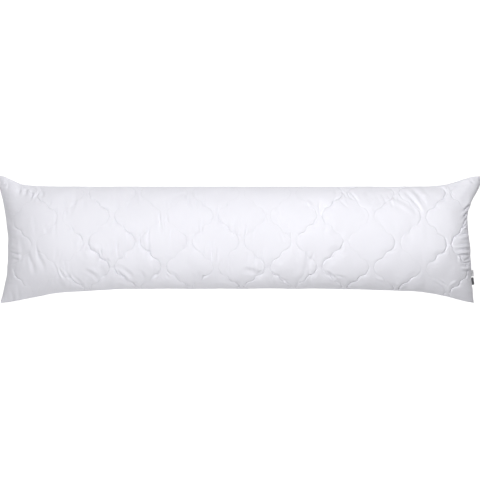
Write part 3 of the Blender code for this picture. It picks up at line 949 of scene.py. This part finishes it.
def make_microfibre():
    """Brushed cloth with its quilting thread, the puckers at the stitches, a faint crumple and painted shade
    in its needle holes.
    """
    material = bpy.data.materials.new("brushed_microfibre")
    material.use_nodes = True
    tree = material.node_tree
    shader = tree.nodes["Principled BSDF"]
    place = cloth_places(tree)
    to_line = cloth_values(tree, "to_line")
    run = cloth_values(tree, "thread_run")
    pull = cloth_values(tree, "pull")

    in_stitch = calculate(tree, "FRACT", calculate(tree, "DIVIDE", run, STITCH_LENGTH))
    above = calculate(tree, "GREATER_THAN", in_stitch, STITCH_GAP)
    beside = calculate(tree, "LESS_THAN", to_line, THREAD_RADIUS)
    thread = calculate(tree, "MULTIPLY", above, beside)
    below = calculate(tree, "SUBTRACT", 1.0, above)
    hole = calculate(tree, "MULTIPLY", below, fading(tree, to_line, reach=HOLE_RADIUS))

    crumple = cloth_noise(tree, place, along=46, across=30, detail=4.0)
    normal = add_bump(tree, crumple, distance=0.0016, strength=0.5)
    pucker = cloth_noise(tree, place, along=70, across=210, detail=2.0)
    at_line = calculate(tree, "MULTIPLY", fading(tree, to_line, reach=0.0060), pull)
    puckers = calculate(tree, "MULTIPLY", pucker, at_line)
    normal = add_bump(tree, puckers, distance=0.0018, strength=0.7, below=normal)
    sunk = calculate(tree, "MULTIPLY", fading(tree, to_line, reach=0.0011), pull)
    crease = calculate(tree, "MULTIPLY", sunk, -1.0)
    normal = add_bump(tree, crease, distance=0.0008, strength=0.9, below=normal)
    sewn = calculate(tree, "SUBTRACT", thread, hole)
    normal = add_bump(tree, sewn, distance=0.0002, strength=0.7, below=normal)
    nap = cloth_noise(tree, place, along=900, across=700, detail=3.0)
    normal = add_bump(tree, nap, distance=0.00015, strength=0.25, below=normal)
    weave = woven(tree, place, THREADS_PER_METRE)
    normal = add_bump(tree, weave, distance=0.0001, strength=0.15, below=normal)
    tree.links.new(normal, shader.inputs["Normal"])

    mottle = cloth_noise(tree, place, along=9, across=9, detail=3.0)
    tint = blend(tree, mottle, *CLOTH_TINTS)
    # painted shade in the needle holes, over the cloth's mottled tint
    tint_and_hole_shade = blend(tree, calculate(tree, "MULTIPLY", hole, HOLE_SHADE), tint, HOLE_PAINTED_SHADE)
    tree.links.new(tint_and_hole_shade, shader.inputs["Base Color"])
    shader.inputs["Roughness"].default_value = 0.8
    shader.inputs["Sheen Weight"].default_value = 0.15
    shader.inputs["Sheen Roughness"].default_value = 0.5
    shader.inputs["Specular IOR Level"].default_value = 0.25
    return material


cover.data.materials.append(make_microfibre())
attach(cover, "root")
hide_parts("pillow")


# ------------------------------------------------------------------------------------------------------------
# The side label: a ribbon of dark grey woven polyester, folded in two and caught in the end seam at +X. It
# is bare.

LABEL_PLY = 0.00035
LABEL_ROOT = 0.0030  # of the ribbon lies inside the seam
SEAM_SPAN = 0.0020  # to each side, in which the seam's direction is measured
RIBBON_COLUMNS = 24
RIBBON_ROWS = 9  # on each of its two layers
RIBBON_TURN = 8  # faces round the fold
CURL_WAVES = 1.15  # across its width
CURL_START = 0.6
CURL_RUN = 1.5  # how late its edge starts to curl


def seam_place(y):
    """The point of the end seam at +X at y, and its direction there."""
    points = []
    for at in (y - SEAM_SPAN, y, y + SEAM_SPAN):
        place = at / EAR_TIP_Y
        height = seam_height(np.array([PANEL_HALF_LENGTH]), np.array([place]), np.array([1]))[0]
        points.append(Vector((float(seam_reach(1, at)), at, float(height))))
    return points[1], (points[2] - points[0]).normalized()


def ribbon_profile(reach, half_gap, droop):
    """Out from the seam, round the fold and back, as (outward, up, cloth used)."""
    flat = reach - half_gap
    profile = [(out, half_gap) for out in np.linspace(-LABEL_ROOT, flat, RIBBON_ROWS)]
    for step in range(1, RIBBON_TURN):
        angle = math.pi / 2 - math.pi * step / RIBBON_TURN
        profile.append((flat + half_gap * math.cos(angle), half_gap * math.sin(angle)))
    profile += [(out, -half_gap) for out in np.linspace(flat, -LABEL_ROOT, RIBBON_ROWS)]
    used = [0.0]
    for (x0, z0), (x1, z1) in zip(profile, profile[1:]):
        used.append(used[-1] + math.hypot(x1 - x0, z1 - z0))
    return [(out, up - droop * (max(out, 0) / reach) ** 2, run) for (out, up), run in zip(profile, used)]


def make_folded_ribbon(name, node, half_gap, droop, curl):
    """A folded ribbon on the seam beside the CAD's label, as far out as that one. Also its flat size."""
    low, high = (Vector(corner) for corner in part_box(node))
    middle = (low.y + high.y) / 2
    root, along = seam_place(middle)
    outward = Vector((along.y, -along.x, 0)).normalized()
    width = (high.y - low.y) * abs(along.y)
    reach = (high.x - root.x) * outward.x - abs(outward.y) * width / 2
    profile = ribbon_profile(reach, half_gap, droop)
    points = []
    places = []
    for column in range(RIBBON_COLUMNS + 1):
        across = width * (column / RIBBON_COLUMNS - 0.5)
        wave = curl * math.sin(2 * math.pi * CURL_WAVES * column / RIBBON_COLUMNS + CURL_START)
        for out, up, run in profile:
            bend = wave * (max(out, 0) / reach) ** CURL_RUN
            points.append(root + along * across + outward * out + Vector((0, 0, up + bend)))
            places.append((across, run))
    count = len(profile)
    faces = [
        (c * count + r, (c + 1) * count + r, (c + 1) * count + r + 1, c * count + r + 1)
        for c in range(RIBBON_COLUMNS)
        for r in range(count - 1)
    ]
    mesh = bpy.data.meshes.new(name)
    mesh.from_pydata(points, [], faces)
    cloth_map = mesh.uv_layers.new(name="cloth")
    for loop in mesh.loops:
        cloth_map.uv[loop.index].vector = places[loop.vertex_index]
    ribbon = add_object(name, mesh)
    ply = ribbon.modifiers.new("ply", "SOLIDIFY")
    ply.thickness = LABEL_PLY
    ply.offset = 0
    apply_modifier(ribbon, ply)
    bpy.ops.object.mode_set(mode="EDIT")
    bpy.ops.mesh.select_all(action="SELECT")
    bpy.ops.mesh.normals_make_consistent(inside=False)
    bpy.ops.object.mode_set(mode="OBJECT")
    ribbon.data.shade_smooth()
    return ribbon, (width, profile[-1][2])


SLUBS_PER_METRE = 900
SLUB_SHARE = 0.4
PAINTED_WEAVE_SHADING = (0.82, 1.14)  # of the ribbon's colour: darker as painted shade in the weave's hollows, lighter as painted highlight on the threads on top
PALEST = 0.93
WEAVE_RELIEF = 0.6


def make_ribbon_cloth(name, shade, threads, depth, roughness, sheen):
    """Close plain weave of that many threads a metre, a little uneven in its tone, with painted shade in the
    weave's hollows and painted highlight on its threads on top.
    """
    material = bpy.data.materials.new(name)
    material.use_nodes = True
    tree = material.node_tree
    shader = tree.nodes["Principled BSDF"]
    place = cloth_places(tree)
    slub = cloth_noise(tree, place, SLUBS_PER_METRE, SLUBS_PER_METRE, detail=2.0)
    mixed = calculate(tree, "MULTIPLY_ADD", slub, SLUB_SHARE, woven(tree, place, threads))
    hollow_painted_shade, painted_thread_highlight = ((*[min(channel * share, PALEST) for channel in shade], 1) for share in PAINTED_WEAVE_SHADING)
    # the colour mixes random slubs with painted shade and highlight that follow the weave's relief
    tree.links.new(blend(tree, mixed, hollow_painted_shade, painted_thread_highlight), shader.inputs["Base Color"])
    shader.inputs["Roughness"].default_value = roughness
    shader.inputs["Sheen Weight"].default_value = sheen
    normal = add_bump(tree, mixed, distance=depth, strength=WEAVE_RELIEF)
    tree.links.new(normal, shader.inputs["Normal"])
    return material


side_label, side_label_flat = make_folded_ribbon(
    "folded_side_label", "side_label", half_gap=0.0007, droop=0.0008, curl=0.0004
)
side_label.data.materials.append(make_ribbon_cloth(
    "dark_woven_ribbon", (0.150, 0.150, 0.160), threads=1800, depth=0.00012, roughness=0.65, sheen=0.1
))
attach(side_label, "root")
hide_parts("side_label")


# ------------------------------------------------------------------------------------------------------------
# The care label: a softer ribbon of white satin, longer and thinner, folded in two and caught in the same
# seam above the side label. It is bare.

care_label, care_label_flat = make_folded_ribbon(
    "folded_care_label", "care_label", half_gap=0.0006, droop=0.0020, curl=0.0010
)
care_label.data.materials.append(make_ribbon_cloth(
    "white_satin_ribbon", (0.800, 0.800, 0.815), threads=2600, depth=0.00005, roughness=0.35, sheen=0.05
))
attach(care_label, "root")
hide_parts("care_label")


# ------------------------------------------------------------------------------------------------------------
# The studio: a pale floor, one large soft light overhead with a smaller one off three of the corners, and a
# camera high up that looks straight down on the pillow's face.

METRES_PER_PIXEL = 0.0030  # at the height of the seams
PICTURE_PIXELS = 480
PICTURE_MIDDLE = (-0.0003, -0.0015)
CAMERA_HEIGHT = 7.0  # above the seams
FLOOR_SIZE = 16.0
FLOOR_BASE = 0.25
FLOOR_GLOW = 0.835  # the lit white sweep's light on the pillow
FLOOR_SEEN_GLOW = 0.20  # more of it for the camera, so that the sweep burns out to white

bpy.ops.object.select_all(action="DESELECT")
bpy.ops.mesh.primitive_plane_add(size=FLOOR_SIZE, location=(0, 0, 0))
floor = bpy.context.active_object
floor.name = "floor"
floor_paint = bpy.data.materials.new("white_floor")
floor_paint.use_nodes = True
floor_shader = floor_paint.node_tree.nodes["Principled BSDF"]
floor_shader.inputs["Base Color"].default_value = (*[FLOOR_BASE] * 3, 1)
floor_shader.inputs["Roughness"].default_value = 0.9
floor_shader.inputs["Emission Color"].default_value = (1, 1, 1, 1)
seen = floor_paint.node_tree.nodes.new("ShaderNodeLightPath").outputs["Is Camera Ray"]
glow = calculate(floor_paint.node_tree, "MULTIPLY_ADD", seen, FLOOR_SEEN_GLOW, FLOOR_GLOW)
floor_paint.node_tree.links.new(glow, floor_shader.inputs["Emission Strength"])
floor.data.materials.append(floor_paint)

SOFT_LIGHTS = {
    # name: (place, aim, length, width, power in watts)
    "overhead_softbox": ((0.0, 0.0, 2.2), (0.1, 0.0, 0.1), 1.6, 1.6, 34.5),
    "key_softbox": ((0.6, 0.6, 1.1), (0.1, 0.0, 0.1), 0.5, 0.5, 4.3),
    "upper_left_softbox": ((-1.0, 0.9, 1.0), (0.1, 0.0, 0.1), 0.8, 0.8, 5.0),
    "lower_left_softbox": ((-0.6, -1.0, 0.85), (0.0, 0.0, 0.1), 0.6, 0.6, 2.4),
}
for name, (place, aim, length, width, power) in SOFT_LIGHTS.items():
    lamp = bpy.data.lights.new(name, "AREA")
    lamp.shape = "RECTANGLE"
    lamp.size = length
    lamp.size_y = width
    lamp.energy = power
    holder = add_object(name, lamp)
    holder.location = place
    holder.rotation_euler = (Vector(aim) - Vector(place)).to_track_quat("-Z", "Y").to_euler()

world = bpy.data.worlds.new("studio")
world.use_nodes = True
world.node_tree.nodes["Background"].inputs["Color"].default_value = (1, 1, 1, 1)
world.node_tree.nodes["Background"].inputs["Strength"].default_value = 0.01
bpy.context.scene.world = world

eye = bpy.data.cameras.new("camera")
eye.sensor_width = 36.0
eye.lens = eye.sensor_width * CAMERA_HEIGHT / (METRES_PER_PIXEL * PICTURE_PIXELS)
eye.clip_end = 50.0
camera = add_object("camera", eye)
camera.location = (*PICTURE_MIDDLE, SEAM_HEIGHT + CAMERA_HEIGHT)
bpy.context.scene.camera = camera
bpy.context.scene.view_settings.view_transform = "Standard"
